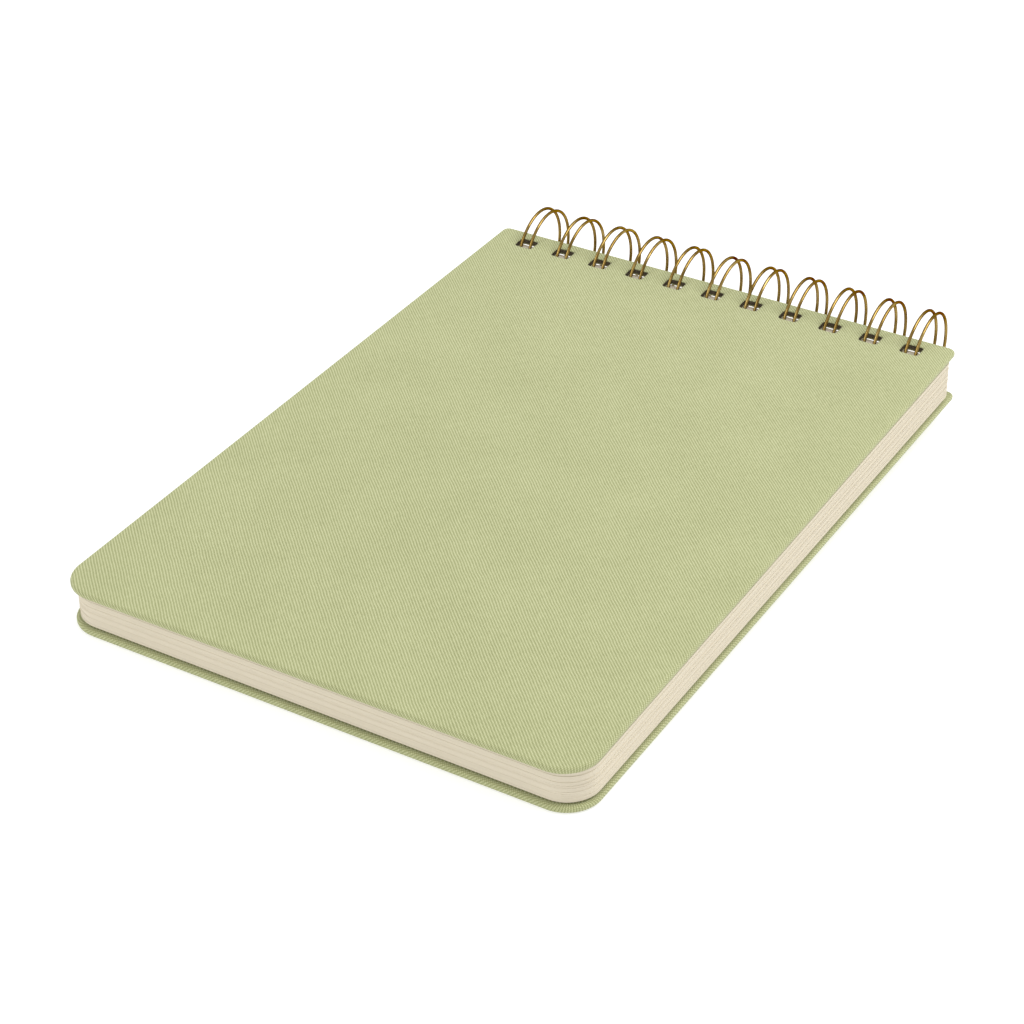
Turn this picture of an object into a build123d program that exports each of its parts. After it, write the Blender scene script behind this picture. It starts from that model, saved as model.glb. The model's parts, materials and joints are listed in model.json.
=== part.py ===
"""Top-bound notebook with cloth-covered boards, loose sheets and a twin-loop binding wire.

Millimetres, +Z up, with the closed book lying flat. The origin is on the outer face of the back
cover, midway along the wire and midway down the covers. +X runs along the wire and +Y runs from the
rounded free corners towards the wire. The closed book is a little thicker at the wire, so each leaf
is tilted by its share of the front cover's tilt. All leaves turn about the axis of the wire's rings,
so their slots always follow the round wire.
"""

import os
from math import cos, degrees, pi, radians, sin

from build123d import *

# Covers
near_thickness = 12.85
front_cover_tilt = 0.8
cover_width = 149.5
cover_length = 220.5
free_corner_radius = 9.6
spine_corner_radius = 2.2
cloth_thickness = 0.25
board_thickness = 1.25
endpaper_thickness = 0.15
turn_in = 15.0
endpaper_margin = 2.0
outer_edge_fillet = 0.7
inner_edge_fillet = 0.45
board_edge_fillet = 0.4

# Sheets
pack_count = 15
sheets_per_pack = 5
sheet_width = 148.0
sheet_length = 215.0
sheet_thickness = 0.10
sheet_corner_radius = 9.0
sheet_spine_corner_radius = 1.0
spine_setback = 4.15
air_over_block = 0.05
air_under_block = 0.5

# How far each part sits from the wire's middle, within the play of its slots
front_cover_shift = -0.15
back_cover_shift = 0.7
top_pack_shift = 0.35
bottom_pack_shift = 0.65
pack_wander = 0.06

# Punched slots and twin-loop wire
loop_count = 11
loop_pitch = 12.7
slot_width = 5.8
slot_corner_radius = 1.0
cover_slot_height = 5.1
cover_slot_edge_distance = 6.75
sheet_slot_height = 4.0
sheet_slot_edge_distance = 4.35
wire_radius = 0.475
pair_spacing = 3.08
ring_radius = 13.5
ring_axis_from_spine = 3.6
ring_z = 8.3
connector_bend_radius = 1.6

# Polar angles of the wire's closing seam about the ring axis, from +Y towards +Z
connector_polar = -104.0
tip_polar = 252.0

# Worked out
cloth_shell = board_thickness + 2 * cloth_thickness
cover_thickness = cloth_shell + endpaper_thickness
spine_y = cover_length / 2
ring_y = spine_y + ring_axis_from_spine
block_height = near_thickness - 2 * cover_thickness - air_over_block - air_under_block
sheet_pitch = block_height / (pack_count * sheets_per_pack)


def leaf_outline(width, length, corner_radius, spine_radius):
    """The active sketch gets a rectangle with rounded free corners and nearly square spine corners."""
    Rectangle(width, length)
    fillet(vertices().group_by(Axis.Y)[0], corner_radius)
    fillet(vertices().group_by(Axis.Y)[-1], spine_radius)


def slots(edge_y, edge_distance, height, mode):
    """One rounded slot for each double loop, that far from a leaf's spine edge."""
    with Locations((0, edge_y - edge_distance)):
        with GridLocations(loop_pitch, 0, loop_count, 1):
            RectangleRounded(slot_width, height, slot_corner_radius, mode=mode)


def cover_slots(mode):
    """A cover's slots, in its active sketch."""
    slots(spine_y, cover_slot_edge_distance, cover_slot_height, mode)


def leaf_place(x, y, level, share):
    """Where a leaf's middle lies: stacked flat, then tilted about its own free edge."""
    free_edge = Location((0, -spine_y, level))
    tilted = Location((0, 0, 0), (front_cover_tilt * share, 0, 0))
    return free_edge * tilted * Location((x, y + spine_y, 0))


def rounded_core(face):
    """The stiff core's shape before punching. face is the plane of the cover's outer face, facing in."""
    inset = cloth_thickness
    with BuildPart() as core:
        with BuildSketch(face.offset(cloth_thickness)):
            leaf_outline(
                cover_width - 2 * inset,
                cover_length - 2 * inset,
                free_corner_radius - inset,
                spine_corner_radius - inset,
            )
        extrude(amount=board_thickness)
        flat_faces = core.faces().filter_by(Axis(face.origin, face.z_dir))
        fillet(flat_faces.edges(), board_edge_fillet)
    return core.part


def make_board(face, core, name):
    """The stiff board of a cover: the core with its slots punched."""
    with BuildPart() as board:
        add(core)
        with BuildSketch(face.offset(cloth_thickness)):
            cover_slots(Mode.ADD)
        extrude(amount=board_thickness, mode=Mode.SUBTRACT)
    board.part.label = name
    export_step(board.part, f"parts/{name}.step")


def make_cloth(face, core, name):
    """The cloth wrap: it covers the outer face and the edges and turns in round the inner face."""
    with BuildPart() as cloth:
        with BuildSketch(face):
            leaf_outline(cover_width, cover_length, free_corner_radius, spine_corner_radius)
        extrude(amount=cloth_shell)
        inwards = Axis(face.origin, face.z_dir)
        outer_face = cloth.faces().filter_by(inwards).sort_by(inwards)[0]
        fillet(outer_face.edges(), outer_edge_fillet)
        inner_face = cloth.faces().filter_by(inwards).sort_by(inwards)[-1]
        fillet(inner_face.edges(), inner_edge_fillet)
        add(core, mode=Mode.SUBTRACT)
        with BuildSketch(face.offset(cloth_thickness + board_thickness)):
            Rectangle(cover_width - 2 * turn_in, cover_length - 2 * turn_in)
        extrude(amount=cloth_thickness, mode=Mode.SUBTRACT)
        with BuildSketch(face):
            cover_slots(Mode.ADD)
        extrude(amount=cloth_shell, mode=Mode.SUBTRACT)
    cloth.part.label = name
    export_step(cloth.part, f"parts/{name}.step")


def make_endpaper(face, name):
    """The pasted inner paper: it fills the window between the turn-ins and laps over them."""
    inset = endpaper_margin
    with BuildPart() as endpaper:
        with BuildSketch(face.offset(cloth_thickness + board_thickness)):
            Rectangle(cover_width - 2 * turn_in, cover_length - 2 * turn_in)
        extrude(amount=cloth_thickness)
        with BuildSketch(face.offset(cloth_shell)):
            leaf_outline(
                cover_width - 2 * inset,
                cover_length - 2 * inset,
                free_corner_radius - inset,
                spine_corner_radius,
            )
            cover_slots(Mode.SUBTRACT)
        extrude(amount=endpaper_thickness)
    endpaper.part.label = name
    export_step(endpaper.part, f"parts/{name}.step")


def make_cover(face, side):
    """One cover: board, cloth wrap and endpaper, all drawn inwards from its outer face."""
    core = rounded_core(face)
    make_board(face, core, f"{side}_cover_board")
    make_cloth(face, core, f"{side}_cover_cloth")
    make_endpaper(face, f"{side}_endpaper")


def make_pack(index):
    """One pack of separate sheets. Pack 1 lies right under the front cover."""
    name = f"sheets_{index:02d}"
    share = 1 - index / (pack_count + 1)
    shift = bottom_pack_shift + (top_pack_shift - bottom_pack_shift) * share
    shift += pack_wander * sin(2.4 * index)
    top = near_thickness - cover_thickness - air_over_block
    level = top - index * sheets_per_pack * sheet_pitch
    edge_y = spine_y - spine_setback
    place = leaf_place(shift, edge_y - sheet_length / 2, level, share)
    with BuildPart() as pack:
        for sheet in range(sheets_per_pack):
            with BuildSketch(Plane(place).offset(sheet * sheet_pitch)):
                leaf_outline(
                    sheet_width,
                    sheet_length,
                    sheet_corner_radius,
                    sheet_spine_corner_radius,
                )
                slots(
                    sheet_length / 2,
                    sheet_slot_edge_distance,
                    sheet_slot_height,
                    Mode.SUBTRACT,
                )
            extrude(amount=sheet_thickness)
    pack.part.label = name
    export_step(pack.part, f"parts/{name}.step")


def on_ring(x, polar):
    """A point of the ring's centreline, at an angle from +Y towards +Z about the ring axis."""
    turn = radians(polar)
    return Vector(x, ring_y + ring_radius * cos(turn), ring_z + ring_radius * sin(turn))


def along_ring(polar):
    """The ring's direction of travel at that angle."""
    turn = radians(polar)
    return Vector(0, -sin(turn), cos(turn))


def quarter_bend(start, first, second):
    """Middle and end of a quarter bend from start, which sets off along first and leaves along second."""
    middle = start + (first * sin(pi / 4) + second * (1 - cos(pi / 4))) * connector_bend_radius
    return middle, start + (first + second) * connector_bend_radius


def make_wire():
    """One continuous round wire: hairpin pairs bent into rings, joined by straight connectors."""
    base_polar = connector_polar + degrees(connector_bend_radius / ring_radius)
    hairpin_polar = tip_polar - degrees(pair_spacing / 2 / ring_radius)
    half_way = (base_polar + hairpin_polar) / 2
    across = Vector(1, 0, 0)
    down = along_ring(base_polar) * -1
    beyond = along_ring(hairpin_polar) * (pair_spacing / 2)
    first_x = -loop_pitch * (loop_count - 1) / 2
    with BuildPart() as wire:
        with BuildLine() as route:
            for loop in range(loop_count):
                left = first_x + loop * loop_pitch - pair_spacing / 2
                right = left + pair_spacing
                ThreePointArc(
                    on_ring(left, base_polar),
                    on_ring(left, half_way),
                    on_ring(left, hairpin_polar),
                )
                ThreePointArc(
                    on_ring(left, hairpin_polar),
                    (on_ring(left, hairpin_polar) + on_ring(right, hairpin_polar)) / 2 + beyond,
                    on_ring(right, hairpin_polar),
                )
                ThreePointArc(
                    on_ring(right, hairpin_polar),
                    on_ring(right, half_way),
                    on_ring(right, base_polar),
                )
                if loop < loop_count - 1:
                    next_left = left + loop_pitch
                    here = on_ring(right, base_polar)
                    there = on_ring(next_left, base_polar)
                    out_middle, out_end = quarter_bend(here, down, across)
                    in_middle, in_end = quarter_bend(there, down, across * -1)
                    ThreePointArc(here, out_middle, out_end)
                    Line(out_end, in_end)
                    ThreePointArc(in_end, in_middle, there)
        with BuildSketch(Plane(route.line @ 0, z_dir=route.line % 0)):
            Circle(wire_radius)
        sweep(path=route.line)
    wire.part.label = "binding_wire"
    export_step(wire.part, "parts/binding_wire.step")
    wire_length = sum(edge.length for edge in route.edges())
    print("wire length", round(wire_length, 1), "mm, volume", round(wire.part.volume, 1))
    print("section times length", round(pi * wire_radius**2 * wire_length, 1))


os.makedirs("parts", exist_ok=True)
face_down = Location((0, 0, 0), (0, 180, 0))
back_face = Plane((back_cover_shift, 0, 0))
front_face = Plane(leaf_place(front_cover_shift, 0, near_thickness, 1) * face_down)
make_cover(back_face, "back")
make_cover(front_face, "front")
for number in range(1, pack_count + 1):
    make_pack(number)
make_wire()
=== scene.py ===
"""Looks of a top-bound notebook: cloth-wrapped boards, loose sheets in packs and a twin-loop wire.

Metres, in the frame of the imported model: +X along the wire, +Y towards the wire, +Z up through the
closed book. Every new piece is a surface worked out from a formula, named in its docstring.
"""

import json
import math

import bmesh
import bpy
import numpy as np
from mathutils import Matrix, Vector


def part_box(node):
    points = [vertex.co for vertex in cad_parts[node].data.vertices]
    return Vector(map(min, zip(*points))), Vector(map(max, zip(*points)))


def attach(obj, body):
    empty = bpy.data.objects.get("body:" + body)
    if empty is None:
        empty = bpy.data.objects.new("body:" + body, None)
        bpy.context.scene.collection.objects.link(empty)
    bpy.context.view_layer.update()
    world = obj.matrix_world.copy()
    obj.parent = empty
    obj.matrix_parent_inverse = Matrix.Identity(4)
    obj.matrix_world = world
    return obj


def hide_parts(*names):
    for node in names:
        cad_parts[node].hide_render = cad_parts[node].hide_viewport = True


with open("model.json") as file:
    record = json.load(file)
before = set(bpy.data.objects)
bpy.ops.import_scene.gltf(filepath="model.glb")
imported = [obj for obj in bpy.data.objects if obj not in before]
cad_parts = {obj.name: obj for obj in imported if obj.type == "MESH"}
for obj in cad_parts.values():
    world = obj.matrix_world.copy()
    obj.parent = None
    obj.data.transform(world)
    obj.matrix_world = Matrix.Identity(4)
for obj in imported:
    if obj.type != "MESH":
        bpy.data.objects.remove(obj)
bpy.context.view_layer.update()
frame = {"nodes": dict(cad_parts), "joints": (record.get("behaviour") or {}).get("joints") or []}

MM = 0.001

# Punching and wire, as on the real binding
loop_count = 11
loop_pitch = 12.7 * MM
slot_width = 5.8 * MM
slot_corner = 1.0 * MM
cover_slot = (5.1 * MM, 6.75 * MM)
sheet_slot = (4.0 * MM, 4.35 * MM)
wire_radius = 0.475 * MM
pair_spacing = 3.08 * MM
bend_radius = 1.6 * MM
connector_polar = math.radians(-104)
tip_polar = math.radians(252)
ring_lean = -0.02
ring_steps = 120
hairpin_steps = 16
bend_steps = 8
tube_sides = 14

# Covers
near_thickness = 12.85 * MM
front_tilt = math.radians(0.8)
free_corner = 9.6 * MM
spine_corner = 2.2 * MM
cloth_thickness = 0.22 * MM
outer_round = 0.85 * MM
inner_round = 0.55 * MM
face_border = 1.5 * MM
edge_steps = 7
outer_lead = 0.2 * MM
inner_lead = 0.3 * MM
slot_bevel = 0.35 * MM
slot_dip = 0.1 * MM
turn_in = 15.0 * MM
endpaper_margin = 2.0 * MM
endpaper_thickness = 0.12 * MM
endpaper_sink = 0.16 * MM
window_step = 0.45 * MM

# Sheets
sheets_per_pack = 5
sheet_thickness = 0.11 * MM
sheet_pitch = 0.1133 * MM
sheet_corner = 9.0 * MM
sheet_spine_corner = 1.0 * MM
sheet_scatter = 0.015 * MM
pack_scatter = 0.05 * MM
pack_wave = 2.1
pack_wave_start = 0.6

# Cloth weave: a two-and-one twill whose wales run down to the right at 45 degrees
thread_pitch = 0.344 * MM

# Camera, from the middle of the front cover's face
camera_offset = Vector((285.66, -496.95, 368.2)) * MM
camera_pitch = math.radians(33.93)
camera_yaw = math.radians(30.56)
camera_roll = math.radians(-0.1)
camera_lens = 89.76
camera_sensor = 36.0

# Surroundings, in metres
floor_half = 4.0
floor_clearance = 0.02 * MM
sky_strength = 0.85
merge_distance = 1e-7

front_low, front_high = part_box("front_cover_cloth")
back_low, back_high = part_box("back_cover_cloth")
wire_low, wire_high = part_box("binding_wire")
ring_axis = Vector(frame["joints"][0]["pos_m"])
ring_outer = (wire_high.z - wire_low.z) / 2
ring_radius = ring_outer - wire_radius
first_loop = -loop_pitch * (loop_count - 1) / 2
free_edge_y = back_low.y
cover_shell = back_high.z - back_low.z
cover_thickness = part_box("back_endpaper")[1].z - back_low.z


# Surfaces


def corner_shares(steps):
    """Shares of a corner square's side that stand at equal angles: tan(angle) from 0 to 45 degrees."""
    return np.tan(np.linspace(0, math.pi / 4, steps + 1))


def sorted_lines(*groups):
    """All the lines in order, with repeats dropped."""
    lines = np.concatenate([np.atleast_1d(group) for group in groups])
    return np.unique(np.round(lines, 8))


class Leaf:
    """A punched rectangle with rounded corners, as a grid of crossing lines.

    Lines x_i and y_j cross at (x_i, y_j). In a corner square with centre c and side r, the point
    c + r(a, b) is carried to c + r(a, b) max(a, b) / |(a, b)|, which turns the square into a quarter
    disc. A point on a slot's edge near its corner is carried onto the slot's corner arc in the same
    way, and cells inside a slot are left out.
    """

    def __init__(self, low, high, radii, slots_at, steps=9, slot_steps=3, x_more=(), y_more=()):
        self.low = np.array(low)
        self.high = np.array(high)
        self.free_radius, self.spine_radius = radii
        self.slot_height = slots_at[2]
        slot_x = slots_at[0] + first_loop + np.arange(loop_count) * loop_pitch
        self.slots = [(x, slots_at[1]) for x in slot_x]
        free = self.free_radius * (1 - corner_shares(steps))
        spine = self.spine_radius * (1 - corner_shares(max(2, steps // 2)))
        arc = slot_corner * (corner_shares(slot_steps) - 1)
        half_x = np.concatenate([slot_width / 2 + arc, [slot_width / 2 + slot_bevel]])
        half_y = np.concatenate([self.slot_height / 2 + arc, [self.slot_height / 2 + slot_bevel]])
        slot_lines = (slot_x[:, None] + np.concatenate([-half_x, half_x])[None]).ravel()
        x0, x1 = self.low[0], self.high[0]
        y0, y1 = self.low[1], self.high[1]
        self.x = sorted_lines(x0 + free, x1 - free, x0 + spine, x1 - spine, slot_lines, x_more)
        y_slot = slots_at[1] + np.concatenate([-half_y, half_y])
        self.y = sorted_lines(y0 + free, y1 - spine, y_slot, y_more)
        self.points = self._rounded()
        middle_x = (self.x[:-1] + self.x[1:]) / 2
        middle_y = (self.y[:-1] + self.y[1:]) / 2
        self.keep = np.ones((len(middle_x), len(middle_y)), bool)
        for x, y in self.slots:
            inside_x = abs(middle_x - x) < slot_width / 2
            inside_y = abs(middle_y - y) < self.slot_height / 2
            self.keep &= ~(inside_x[:, None] & inside_y[None])

    def _core(self, points):
        """The nearest point of the rectangle's core, which holds the corner arcs' centres."""
        middle = (self.low[1] + self.high[1]) / 2
        radius = np.where(points[..., 1] < middle, self.free_radius, self.spine_radius)
        core = points.copy()
        core[..., 0] = np.clip(points[..., 0], self.low[0] + radius, self.high[0] - radius)
        core[..., 1] = np.clip(
            points[..., 1], self.low[1] + self.free_radius, self.high[1] - self.spine_radius
        )
        return core

    def _rounded(self):
        grid = np.stack(np.meshgrid(self.x, self.y, indexing="ij"), -1)
        core = self._core(grid)
        away = grid - core
        length = np.maximum(np.hypot(away[..., 0], away[..., 1]), 1e-12)
        grid = core + away * (np.abs(away).max(-1) / length)[..., None]
        for x, y in self.slots:
            offset = grid - (x, y)
            inner = np.array([slot_width, self.slot_height]) / 2 - slot_corner
            past = np.abs(offset) - inner
            on_edge = np.isclose(past.max(-1), slot_corner, atol=1e-7)
            corner = on_edge & (past.min(-1) > 1e-9)
            reach = np.maximum(np.hypot(past[..., 0], past[..., 1]), 1e-12)
            arc = np.sign(offset) * (inner + past * (slot_corner / reach)[..., None])
            grid = np.where(corner[..., None], arc + (x, y), grid)
        return grid

    def outline(self):
        """Row and column of each point round the outside, anticlockwise from above."""
        nx, ny = len(self.x), len(self.y)
        rows = np.concatenate(
            [np.arange(nx), np.full(ny - 1, nx - 1), np.arange(nx - 2, -1, -1), np.zeros(ny - 2)]
        )
        columns = np.concatenate(
            [np.zeros(nx), np.arange(1, ny), np.full(nx - 1, ny - 1), np.arange(ny - 2, 0, -1)]
        )
        return rows.astype(int), columns.astype(int)

    def outward(self):
        """Each outline point's direction away from the core."""
        points = self.points[self.outline()]
        away = points - self._core(points)
        return away / np.linalg.norm(away, axis=-1, keepdims=True)

    def slot_loops(self):
        """Rows and columns of the points round each slot, clockwise from above."""
        loops = []
        for x, y in self.slots:
            i0, i1 = (int(np.argmin(abs(self.x - x - s * slot_width / 2))) for s in (-1, 1))
            reach = self.slot_height / 2
            j0, j1 = (int(np.argmin(abs(self.y - y - s * reach))) for s in (-1, 1))
            rows = np.concatenate(
                [
                    np.full(j1 - j0, i0),
                    np.arange(i0, i1),
                    np.full(j1 - j0, i1),
                    np.arange(i1, i0, -1),
                ]
            )
            columns = np.concatenate(
                [
                    np.arange(j0, j1),
                    np.full(i1 - i0, j1),
                    np.arange(j1, j0, -1),
                    np.full(i1 - i0, j0),
                ]
            )
            loops.append((rows, columns))
        return loops


class Surface:
    """Grids of points, with flat cloth coordinates and a tone, that become one mesh.

    Leaves are drawn flat. Then level and share say where and how far they tilt.
    """

    def __init__(self):
        self.points, self.flats, self.tones, self.faces = [], [], [], []
        self.count = 0
        self.level, self.share = 0.0, 0.0

    def grid(self, points, flat=None, keep=None, flip=False, ring=False, tone=0.0):
        """A grid of points n by m. ring closes it along its first way, keep drops its cells."""
        n, m = points.shape[:2]
        number = np.arange(n * m).reshape(n, m) + self.count
        if ring:
            number = np.concatenate([number, number[:1]])
        a, b = number[:-1, :-1], number[1:, :-1]
        c, d = number[1:, 1:], number[:-1, 1:]
        quads = np.stack([d, c, b, a] if flip else [a, b, c, d], -1)
        quads = quads[keep] if keep is not None else quads.reshape(-1, 4)
        flat = points[..., :2] if flat is None else flat
        self.points.append(tilted(points, self.level, self.share).reshape(-1, 3))
        self.flats.append(flat.reshape(-1, 2))
        self.tones.append(np.full(n * m, tone))
        self.faces.append(quads)
        self.count += n * m

    def piece(self, name, material, smooth=True):
        """One object at the origin, its doubled points merged and its unused points dropped."""
        points = np.concatenate(self.points)
        faces = np.concatenate(self.faces)
        flats = np.concatenate(self.flats)
        tones = np.concatenate(self.tones)
        used, faces = np.unique(faces, return_inverse=True)
        faces = faces.reshape(-1, 4)
        mesh = bpy.data.meshes.new(name)
        mesh.from_pydata(points[used].tolist(), [], faces.tolist())
        layer = mesh.uv_layers.new(name="Flat")
        layer.data.foreach_set("uv", flats[used][faces.ravel()].astype(np.float32).ravel())
        tone = mesh.attributes.new("tone", "FLOAT", "POINT")
        tone.data.foreach_set("value", tones[used].astype(np.float32))
        work = bmesh.new()
        work.from_mesh(mesh)
        bmesh.ops.remove_doubles(work, verts=work.verts, dist=merge_distance)
        work.to_mesh(mesh)
        work.free()
        mesh.polygons.foreach_set("use_smooth", np.full(len(mesh.polygons), smooth))
        mesh.update()
        mesh.materials.append(material)
        piece = bpy.data.objects.new(name, mesh)
        bpy.context.scene.collection.objects.link(piece)
        return piece


def raised(flat_points, height):
    """Points of a flat grid lifted to a height, which is one number or one for each point."""
    height = np.broadcast_to(height, flat_points.shape[:-1])
    return np.concatenate([flat_points, height[..., None]], -1)


def tilted(points, level, share):
    """Points turned about their leaf's free edge, at that level, by a share of the front's tilt."""
    sine, cosine = math.sin(front_tilt * share), math.cos(front_tilt * share)
    y, z = points[..., 1] - free_edge_y, points[..., 2] - level
    turned = [points[..., 0], free_edge_y + y * cosine - z * sine, level + y * sine + z * cosine]
    return np.stack(turned, -1)


def joined(start, end):
    """A band two points wide between two matching loops."""
    return np.stack([start, end], 1)


# Materials


class Value:
    """A socket in an expression: + - * / on values, or with numbers, add Math nodes to the tree."""

    def __init__(self, tree, socket):
        self.tree = tree
        self.socket = socket

    def _math(self, operation, first, second):
        return self.tree.add("ShaderNodeMath", {"operation": operation}, {0: first, 1: second})

    def __add__(self, other):
        return self._math("ADD", self, other)

    def __radd__(self, other):
        return self._math("ADD", other, self)

    def __sub__(self, other):
        return self._math("SUBTRACT", self, other)

    def __rsub__(self, other):
        return self._math("SUBTRACT", other, self)

    def __mul__(self, other):
        return self._math("MULTIPLY", self, other)

    def __rmul__(self, other):
        return self._math("MULTIPLY", other, self)

    def __truediv__(self, other):
        return self._math("DIVIDE", self, other)

    def math(self, operation, other=0.0):
        """Any other Math operation on this value, such as FLOOR or COSINE."""
        return self._math(operation, self, other)


class Finish:
    """A material's node tree, with one method that adds any node."""

    def __init__(self, name):
        self.material = bpy.data.materials.new(name)
        self.material.use_nodes = True
        self.tree = self.material.node_tree
        self.shader = self.tree.nodes["Principled BSDF"]

    def add(self, kind, settings=None, inputs=None, output=0):
        """A node of that kind: settings first, then its inputs, as values or links."""
        node = self.tree.nodes.new(kind)
        for name, value in (settings or {}).items():
            if name == "stops":
                ramp = node.color_ramp.elements
                for spare in range(len(value) - len(ramp)):
                    ramp.new(0.5)
                for stop, (place, colour) in zip(ramp, value):
                    stop.position = place
                    stop.color = (*colour, 1.0)
            else:
                setattr(node, name, value)
        for name, value in (inputs or {}).items():
            self.put(node.inputs[name], value)
        return Value(self, node.outputs[output])

    def put(self, socket, value):
        """A socket gets a link from a value, or a number or colour of its own."""
        if isinstance(value, Value):
            self.tree.links.new(value.socket, socket)
        elif isinstance(value, tuple) and len(value) == 3 and socket.type == "RGBA":
            socket.default_value = (*value, 1.0)
        else:
            socket.default_value = value

    def set(self, **values):
        """The shader's own sockets, by name, with an underscore for a space."""
        for name, value in values.items():
            self.put(self.shader.inputs[name.replace("_", " ")], value)

    def object_point(self):
        return self.add("ShaderNodeTexCoord", output="Object")

    def flat_point(self):
        """The piece's own flat coordinates, in metres."""
        return self.add("ShaderNodeUVMap", {"uv_map": "Flat"})

    def split(self, vector):
        """A vector's three numbers."""
        parts = self.add("ShaderNodeSeparateXYZ", inputs={0: vector}).socket.node.outputs
        return [Value(self, part) for part in parts]

    def join(self, x, y, z=0.0):
        return self.add("ShaderNodeCombineXYZ", inputs={0: x, 1: y, 2: z})

    def noise(self, point, scale, detail=2.0, roughness=0.5):
        """Smooth noise from 0 to 1, at that many cells a metre."""
        inputs = {"Vector": point, "Scale": scale, "Detail": detail, "Roughness": roughness}
        return self.add("ShaderNodeTexNoise", inputs=inputs)

    def mix(self, share, first, second):
        """Two colours mixed by a share."""
        inputs = {0: share, 6: first, 7: second}
        return self.add("ShaderNodeMix", {"data_type": "RGBA"}, inputs, output=2)

    def ramp(self, value, stops):
        return self.add("ShaderNodeValToRGB", {"stops": stops}, {0: value})

    def bump(self, height, distance, strength=1.0):
        """The normal turned by a height from 0 to 1 that stands for that distance in metres."""
        inputs = {"Height": height, "Distance": distance, "Strength": strength}
        return self.add("ShaderNodeBump", inputs=inputs)


def cloth_finish():
    """Two-and-one twill: warp thread i floats over two picks and under one, one pick on per thread.

    With U and V the flat place in threads and i = floor(U), a warp float's phase is (V + i) / 3. Its
    height is a raised cosine of that phase times the thread's round section |sin(pi U)|, and where it
    dips, the weft's section |sin(pi V)| shows.
    """
    cloth = Finish("book_cloth")
    x, y, unused = cloth.split(cloth.flat_point())
    point = cloth.flat_point()
    waver = (cloth.noise(point, 160.0, 2.0) - 0.5) * 1.1
    across = x / thread_pitch + waver
    along = y / thread_pitch + waver
    warp_number = across.math("FLOOR")
    float_phase = (along + warp_number) * (2 * math.pi / 3)
    lift = 0.5 - 0.5 * float_phase.math("COSINE")
    warp_round = (across * math.pi).math("SINE").math("ABSOLUTE")
    weft_round = (along * math.pi).math("SINE").math("ABSOLUTE")
    warp = lift * (0.45 + 0.55 * warp_round)
    weft = 0.42 * weft_round
    height = warp.math("MAXIMUM", weft)
    slub = cloth.noise(cloth.join(across * 0.9, along * 0.11), 1.0, 2.0)
    pick = cloth.noise(cloth.join(across * 0.1, along * 0.9), 1.0, 2.0)
    cloud = cloth.noise(point, 45.0, 3.0)
    # The weave height darkens the colour where the threads dip: painted shade in the weave's furrows.
    # Slub, pick and cloud add random yarn tone.
    light = height * 0.62 + slub * 0.2 + pick * 0.16 + cloud * 0.1
    colour = cloth.ramp(
        light,
        [
            (0.12, (0.125, 0.135, 0.045)),
            (0.45, (0.342, 0.361, 0.166)),
            (0.85, (0.590, 0.605, 0.355)),
        ],
    )
    cloth.set(Base_Color=colour, Roughness=0.86, Sheen_Weight=0.12, Sheen_Roughness=0.5)
    cloth.set(Normal=cloth.bump(height, 0.07 * MM, 0.9))
    return cloth.material


def paper_finish(name, colour):
    """Uncoated paper: each sheet keeps its own tone, over fine fibre clouds."""
    paper = Finish(name)
    point = paper.object_point()
    tone = paper.add("ShaderNodeAttribute", {"attribute_name": "tone"}, output="Fac")
    fibre = paper.noise(point, 2600.0, 2.0, 0.5)
    cloud = paper.noise(point, 60.0, 2.0)
    share = 0.5 + tone * 0.25 + (fibre - 0.5) * 0.1 + (cloud - 0.5) * 0.25
    light = tuple(min(1.0, c * 1.03) for c in colour)
    dark = tuple(c * s for c, s in zip(colour, (0.97, 0.96, 0.93)))
    paper.set(Base_Color=paper.mix(share, dark, light), Roughness=0.9)
    paper.set(Specular_IOR_Level=0.3, Normal=paper.bump(fibre, 0.005 * MM, 0.4))
    return paper.material


def board_finish_with_painted_slot_shade():
    """Greyboard: recycled fibre in flecks and short strands, coloured far darker than real greyboard
    as painted shade in the slots.
    """
    board = Finish("greyboard")
    point = board.object_point()
    strand = board.noise(point, 1500.0, 4.0, 0.65)
    fleck = board.noise(point, 5200.0, 1.0)
    # The board colour is kept near black: painted shade on the slot walls, over the real fibre flecks
    # and strands.
    colour = board.ramp(
        strand * 0.7 + fleck * 0.3,
        [(0.3, (0.05, 0.038, 0.022)), (0.55, (0.10, 0.078, 0.05)), (0.75, (0.17, 0.14, 0.10))],
    )
    board.set(Base_Color=colour, Roughness=0.95, Normal=board.bump(strand, 0.05 * MM))
    return board.material


def wire_finish():
    """Antique gold plating: fine drawing lines along the wire, and a patina that comes and goes."""
    wire = Finish("antique_gold_wire")
    along, around, unused = wire.split(wire.flat_point())
    drawn = wire.noise(wire.join(along * 260.0, around * 9000.0), 1.0, 3.0)
    patina = wire.noise(wire.join(along * 150.0, around * 700.0, 3.0), 1.0, 3.0)
    colour = wire.ramp(
        patina * 0.8 + drawn * 0.2,
        [(0.30, (0.12, 0.068, 0.013)), (0.50, (0.28, 0.185, 0.05)), (0.70, (0.50, 0.38, 0.15))],
    )
    wire.set(Base_Color=colour, Metallic=1.0, Roughness=0.13 + 0.12 * drawn)
    wire.set(Specular_Tint=(0.30, 0.20, 0.08))
    wire.set(Normal=wire.bump(drawn, 0.006 * MM, 0.6))
    return wire.material


def floor_finish():
    """A plain matt floor that glows a little, so it stays nearly white round the book."""
    floor = Finish("pale_floor")
    soft = floor.noise(floor.object_point(), 3.0, 1.0)
    floor.set(Base_Color=floor.mix(soft, (0.55, 0.55, 0.55), (0.57, 0.57, 0.57)), Roughness=0.9)
    floor.set(Emission_Color=(1.0, 1.0, 1.0), Emission_Strength=0.55)
    return floor.material


# Pieces


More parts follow.
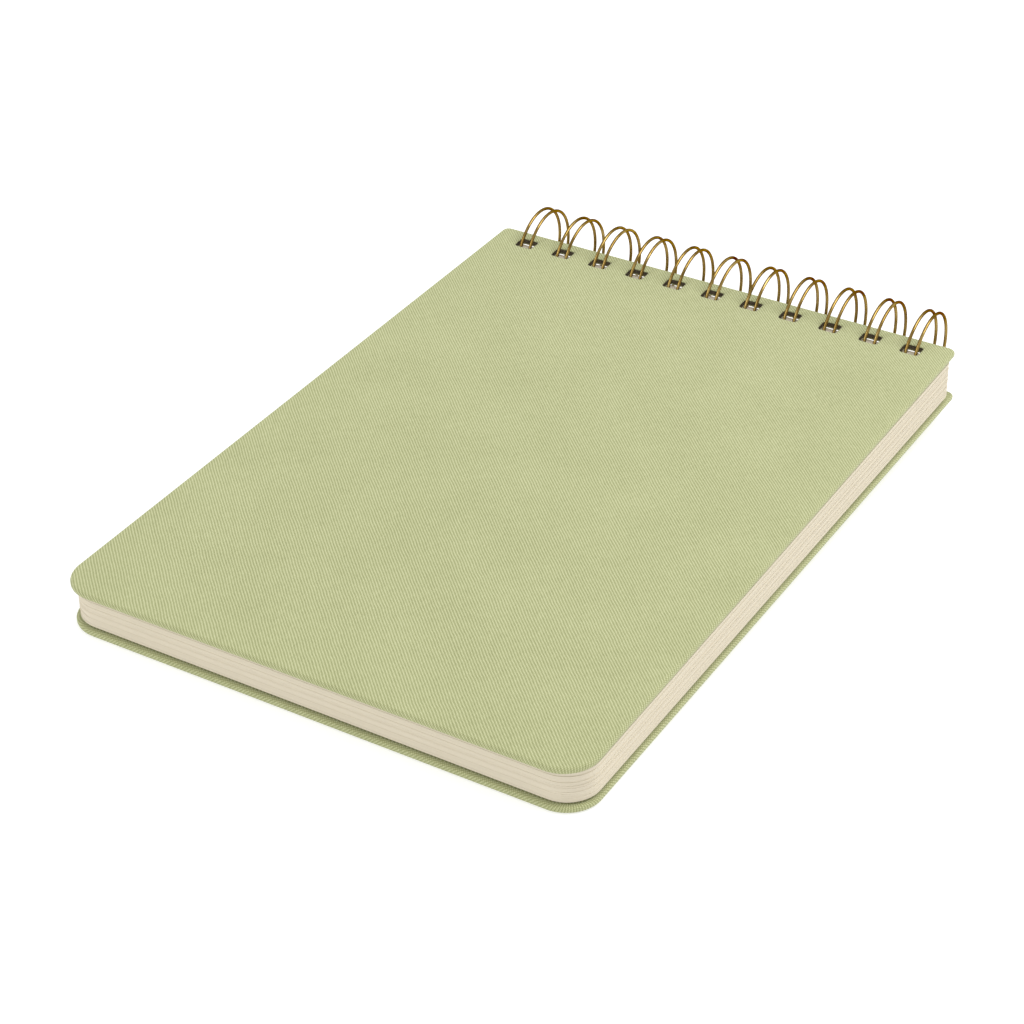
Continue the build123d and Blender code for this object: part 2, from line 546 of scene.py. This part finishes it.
def edge_profile(shell):
    """Inset and depth from the outer face round the edge to the inner face, with two quarter arcs."""
    turn = np.linspace(0, math.pi / 2, edge_steps + 1)
    outer = np.stack([outer_round * (1 - np.sin(turn)), outer_round * (1 - np.cos(turn))], 1)
    inner = np.stack(
        [inner_round * (1 - np.cos(turn)), shell - inner_round * (1 - np.sin(turn))], 1
    )
    start = [[face_border, 0.0], [outer_round + outer_lead, 0.0]]
    end = [[inner_round + inner_lead, shell], [face_border, shell]]
    return np.concatenate([start, outer, inner, end])


def make_cloth(name, node, body, side, finish):
    """The cloth round one cover, side +1 for the front and -1 for the back.

    The outer face is a punched leaf. From its outline a profile of inset d(s) and depth h(s) runs
    round the board's edge, each point at outline + outward (border - d(s)), and the turn-in runs
    back under the board to a window. Flat coordinates unroll the cloth along the profile.
    """
    low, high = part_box(node)
    low.y, high.y = back_low.y, back_high.y
    shell = cover_shell
    outer_z = near_thickness if side > 0 else back_low.z
    border = np.array([face_border, face_border])
    low_xy = np.array(low)[:2] + border
    high_xy = np.array(high)[:2] - border
    window_x = [low.x + turn_in, high.x - turn_in]
    window_y = [low.y + turn_in, high.y - turn_in]
    slots_at = ((low.x + high.x) / 2, high.y - cover_slot[1], cover_slot[0])
    leaf = Leaf(
        low_xy,
        high_xy,
        (free_corner - face_border, spine_corner - face_border),
        slots_at,
        x_more=window_x,
        y_more=[*window_y, *np.linspace(*window_y, 9)],
    )
    profile = edge_profile(shell)
    steps = np.hypot(*np.diff(profile, axis=0).T)
    unrolled = np.concatenate([[0.0], np.cumsum(steps)])
    rim = leaf.points[leaf.outline()]
    away = leaf.outward()
    band_xy = rim[:, None] + away[:, None] * (face_border - profile[:, 0])[None, :, None]
    band_flat = rim[:, None] + away[:, None] * unrolled[None, :, None]
    band_z = np.broadcast_to(outer_z - side * profile[:, 1], band_xy.shape[:2])
    dip = np.zeros(leaf.points.shape[:2])
    for loop in leaf.slot_loops():
        dip[loop] = slot_dip
    in_window = (
        (leaf.x[:-1] > window_x[0] - 1e-6)[:, None]
        & (leaf.x[1:] < window_x[1] + 1e-6)[:, None]
        & (leaf.y[:-1] > window_y[0] - 1e-6)[None]
        & (leaf.y[1:] < window_y[1] + 1e-6)[None]
    )
    inner_z = outer_z - side * shell
    flip = side < 0
    surface = Surface()
    surface.level, surface.share = outer_z, max(side, 0)
    surface.grid(raised(leaf.points, outer_z - side * dip), keep=leaf.keep, flip=flip)
    surface.grid(raised(band_xy, band_z), band_flat, flip=not flip, ring=True)
    surface.grid(raised(leaf.points, inner_z), keep=leaf.keep & ~in_window, flip=not flip)
    piece = surface.piece(name, finish)
    solid = piece.modifiers.new("cloth_thickness", "SOLIDIFY")
    solid.thickness = cloth_thickness
    solid.offset = -1.0
    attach(piece, body)
    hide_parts(node)


def make_endpaper(name, node, body, side, finish):
    """The pasted inner paper, side +1 for the front cover and -1 for the back.

    Its height is smooth(distance inside the turn-ins' window) times a small sink, so the cloth's
    turned-in edge shows through as a low ridge. The same leaf one thickness lower closes it.
    """
    low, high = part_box(node)
    low.y, high.y = back_low.y + endpaper_margin, back_high.y - endpaper_margin
    outer_z = near_thickness if side > 0 else back_low.z
    inner_z = outer_z - side * cover_thickness
    slots_at = ((low.x + high.x) / 2, back_high.y - cover_slot[1], cover_slot[0])
    ramp = np.linspace(-window_step, window_step, 5)
    reach = turn_in - endpaper_margin
    ends_x = np.array([low.x + reach, high.x - reach])
    ends_y = np.array([low.y + reach, high.y - reach])
    leaf = Leaf(
        np.array(low)[:2],
        np.array(high)[:2],
        (free_corner - endpaper_margin, spine_corner),
        slots_at,
        x_more=(ends_x[:, None] + ramp).ravel(),
        y_more=[*(ends_y[:, None] + ramp).ravel(), *np.linspace(*ends_y, 7)],
    )
    x, y = leaf.points[..., 0], leaf.points[..., 1]
    inside = np.minimum.reduce([x - ends_x[0], ends_x[1] - x, y - ends_y[0], ends_y[1] - y])
    share = np.clip((inside + window_step) / (2 * window_step), 0, 1)
    sink = endpaper_sink * share * share * (3 - 2 * share)
    shown = inner_z + side * sink
    hidden = shown + side * endpaper_thickness
    surface = Surface()
    surface.level, surface.share = outer_z, max(side, 0)
    close_plate(surface, leaf, shown, hidden, flip=side > 0)
    piece = surface.piece(name, finish, smooth=False)
    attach(piece, body)
    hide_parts(node)


def close_plate(surface, leaf, top, bottom, flip=False, shift=(0.0, 0.0), tone=0.0):
    """A closed plate: the leaf at two heights, joined by walls round the outline and the slots."""
    flat = leaf.points + np.array(shift)
    upper = raised(flat, top)
    lower = raised(flat, bottom)
    surface.grid(upper, keep=leaf.keep, flip=flip, tone=tone)
    surface.grid(lower, keep=leaf.keep, flip=not flip, tone=tone)
    for loop in [leaf.outline(), *leaf.slot_loops()]:
        surface.grid(joined(upper[loop], lower[loop]), flip=not flip, ring=True, tone=tone)


def make_sheets(finish):
    """Every pack of sheets: one thin punched plate a sheet, each a hair off its neighbours."""
    chance = np.random.default_rng(11)
    packs = sorted(name for name in frame["nodes"] if name.startswith("sheets_"))
    for number, node in enumerate(packs):
        low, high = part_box(node)
        share = 1 - (number + 1) / (len(packs) + 1)
        level = low.z - (low.y - free_edge_y) * math.sin(front_tilt * share)
        slots_at = ((low.x + high.x) / 2, high.y - sheet_slot[1], sheet_slot[0])
        leaf = Leaf(
            np.array(low)[:2],
            np.array(high)[:2],
            (sheet_corner, sheet_spine_corner),
            slots_at,
            steps=6,
            slot_steps=2,
            y_more=np.linspace(low.y + sheet_corner, high.y - 3 * sheet_slot[1], 3),
        )
        pack_shift = np.array([0.0, pack_scatter * math.sin(pack_wave * number + pack_wave_start)])
        surface = Surface()
        surface.level, surface.share = level, share
        for sheet in range(sheets_per_pack):
            shift = pack_shift + chance.normal(0.0, sheet_scatter, 2)
            bottom = level + sheet * sheet_pitch
            tone = chance.uniform(-1.0, 1.0)
            top = bottom + sheet_thickness
            close_plate(surface, leaf, top, bottom, shift=shift, tone=tone)
        piece = surface.piece(f"{node}_leaves", finish, smooth=False)
        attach(piece, f"{node}_pack")
        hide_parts(node)


def ring_point(x, polar):
    """Centreline points of a ring at x and polar angle from +Y towards +Z."""
    y = ring_axis.y + ring_radius * np.cos(polar)
    z = ring_axis.z + ring_radius * np.sin(polar)
    return np.stack([np.full_like(polar, x), y, z], -1)


def ring_outward(polar):
    """The direction away from the ring axis at each angle."""
    return np.stack([np.zeros_like(polar), np.cos(polar), np.sin(polar)], -1)


def wire_route():
    """The wire's centreline and, at each point, a direction square to it.

    Each double loop goes round the rings from the connectors to a hairpin tip, a half circle
    mid - cos(a) across + sin(a) along, and back. A quarter bend, a straight connector and another
    quarter bend lead on to the next loop.
    """
    base_polar = connector_polar + bend_radius / ring_radius
    hairpin_polar = tip_polar - pair_spacing / 2 / ring_radius
    polar = np.linspace(base_polar, hairpin_polar, ring_steps + 1)
    half_turn = np.linspace(0, math.pi, hairpin_steps + 1)[1:-1, None]
    quarter = np.linspace(0, math.pi / 2, bend_steps + 1)[1:, None]
    across = np.array([1.0, 0.0, 0.0])
    base = np.array([base_polar])
    hairpin = np.array([hairpin_polar])
    down = np.array([0.0, math.sin(base_polar), -math.cos(base_polar)])
    beyond = np.array([0.0, -math.sin(hairpin_polar), math.cos(hairpin_polar)])
    points, squares = [], []
    for loop in range(loop_count):
        left = first_loop + loop * loop_pitch - pair_spacing / 2
        right = left + pair_spacing
        middle = ring_point((left + right) / 2, hairpin)
        arc = -np.cos(half_turn) * across + np.sin(half_turn) * beyond
        points += [ring_point(left, polar), middle + arc * pair_spacing / 2]
        points += [ring_point(right, polar[::-1])]
        squares += [ring_outward(polar), np.repeat(ring_outward(hairpin), len(half_turn), 0)]
        squares += [ring_outward(polar[::-1])]
        if loop < loop_count - 1:
            here = ring_point(right, base)
            there = ring_point(left + loop_pitch, base)
            bend = np.sin(quarter) * down
            swing = (1 - np.cos(quarter)) * across
            out = here + (bend + swing) * bend_radius
            back = (there + (bend - swing) * bend_radius)[::-1]
            points += [out, (out[-1:] + back[:1]) / 2, back]
            squares += [np.repeat(ring_outward(base), 2 * len(quarter) + 1, 0)]
    return np.concatenate(points), np.concatenate(squares)


def make_wire(finish):
    """The binding wire: a circle of the wire's radius carried along its route.

    Surface point = route(s) + radius (cos(a) n + sin(a) t x n), with n the route's square direction
    and t its own. The rings lean a little along the wire, x = x + lean (y - the covers' wire edge).
    """
    route, square = wire_route()
    route[:, 0] += ring_lean * (route[:, 1] - front_high.y)
    tangent = np.gradient(route, axis=0)
    tangent /= np.linalg.norm(tangent, axis=1, keepdims=True)
    square -= tangent * (square * tangent).sum(1, keepdims=True)
    square /= np.linalg.norm(square, axis=1, keepdims=True)
    side = np.cross(tangent, square)
    length = np.concatenate([[0.0], np.cumsum(np.linalg.norm(np.diff(route, axis=0), axis=1))])
    angle = np.linspace(0, 2 * math.pi, tube_sides + 1)
    around = np.cos(angle)[None, :, None] * square[:, None]
    around = around + np.sin(angle)[None, :, None] * side[:, None]
    tube = route[:, None] + around * wire_radius
    start = np.broadcast_to(route[:1, None], (1, len(angle), 3))
    end = np.broadcast_to(route[-1:, None], (1, len(angle), 3))
    points = np.concatenate([start, tube, end])
    length = np.concatenate([length[:1], length, length[-1:]])
    flat = np.stack(np.broadcast_arrays(length[:, None], angle[None] * wire_radius), -1)
    surface = Surface()
    surface.grid(points, flat, flip=True)
    piece = surface.piece("binding_wire_round", finish)
    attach(piece, "back_cover")
    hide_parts("binding_wire")


def dress_boards(finish):
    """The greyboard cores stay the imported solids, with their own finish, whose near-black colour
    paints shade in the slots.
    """
    for node in ("front_cover_board", "back_cover_board"):
        board = frame["nodes"][node]
        board.data.materials.clear()
        board.data.materials.append(finish)


# Studio


def make_floor(finish):
    """A floor that touches the rings' undersides and the back cover's free edge."""
    edge_y, edge_z = back_low.y + outer_round, back_low.z
    reach = math.hypot(ring_axis.y - edge_y, ring_axis.z - edge_z)
    tilt = math.atan2(ring_axis.z - edge_z, ring_axis.y - edge_y) - math.asin(ring_outer / reach)
    along = np.array([-floor_half, floor_half])
    points = np.zeros((2, 2, 3))
    points[..., 0] = along[:, None]
    points[..., 1] = edge_y + along * math.cos(tilt)
    points[..., 2] = edge_z - floor_clearance + along * math.sin(tilt)
    surface = Surface()
    surface.grid(points)
    floor = surface.piece("floor", finish)


def area_light(name, place, aim, size, power, colour):
    """A soft rectangular light at a place, turned to face its aim."""
    light = bpy.data.lights.new(name, "AREA")
    light.shape = "RECTANGLE"
    light.size, light.size_y = size
    light.energy = power
    light.color = colour
    lamp = bpy.data.objects.new(name, light)
    lamp.location = place
    lamp.rotation_mode = "QUATERNION"
    lamp.rotation_quaternion = (Vector(aim) - Vector(place)).to_track_quat("-Z", "Y")
    bpy.context.scene.collection.objects.link(lamp)


def make_studio():
    """Even white surroundings and large soft lights."""
    world = bpy.data.worlds.new("studio")
    world.use_nodes = True
    sky = world.node_tree.nodes["Background"]
    sky.inputs["Color"].default_value = (1.0, 1.0, 1.0, 1.0)
    sky.inputs["Strength"].default_value = sky_strength
    bpy.context.scene.world = world
    aim = (0.0, 0.0, 0.0)
    area_light("key", (0.55, 0.5, 0.9), aim, (0.7, 0.7), 7.0, (1.0, 1.0, 1.0))
    area_light("front_fill", (-0.5, -0.7, 0.8), aim, (0.5, 0.5), 2.5, (1.0, 1.0, 1.0))
    bpy.context.scene.view_settings.view_transform = "Standard"


def make_camera():
    """The camera stands off the front cover's middle, pitched down and turned to the left."""
    camera = bpy.data.cameras.new("camera")
    camera.lens = camera_lens
    camera.sensor_width = camera_sensor
    camera.clip_start, camera.clip_end = 0.01, 50.0
    holder = bpy.data.objects.new("camera", camera)
    middle = ((front_low.x + front_high.x) / 2, (back_low.y + back_high.y) / 2, near_thickness)
    face = Vector(tilted(np.array(middle), near_thickness, 1.0))
    turn = Matrix.Rotation(camera_yaw, 4, "Z") @ Matrix.Rotation(math.pi / 2 - camera_pitch, 4, "X")
    turn = turn @ Matrix.Rotation(camera_roll, 4, "Z")
    cover = Matrix.Translation(face) @ Matrix.Rotation(front_tilt, 4, "X")
    holder.matrix_world = cover @ Matrix.Translation(camera_offset) @ turn
    bpy.context.scene.collection.objects.link(holder)
    bpy.context.scene.camera = holder


make_camera()
make_studio()
make_floor(floor_finish())
cloth = cloth_finish()
lining = paper_finish("endpaper", (0.70, 0.64, 0.52))
make_cloth("front_cover_wrap", "front_cover_cloth", "front_cover", 1, cloth)
make_cloth("back_cover_wrap", "back_cover_cloth", "back_cover", -1, cloth)
make_endpaper("front_endpaper_sheet", "front_endpaper", "front_cover", 1, lining)
make_endpaper("back_endpaper_sheet", "back_endpaper", "back_cover", -1, lining)
dress_boards(board_finish_with_painted_slot_shade())
make_sheets(paper_finish("page_paper", (0.675, 0.615, 0.495)))
make_wire(wire_finish())

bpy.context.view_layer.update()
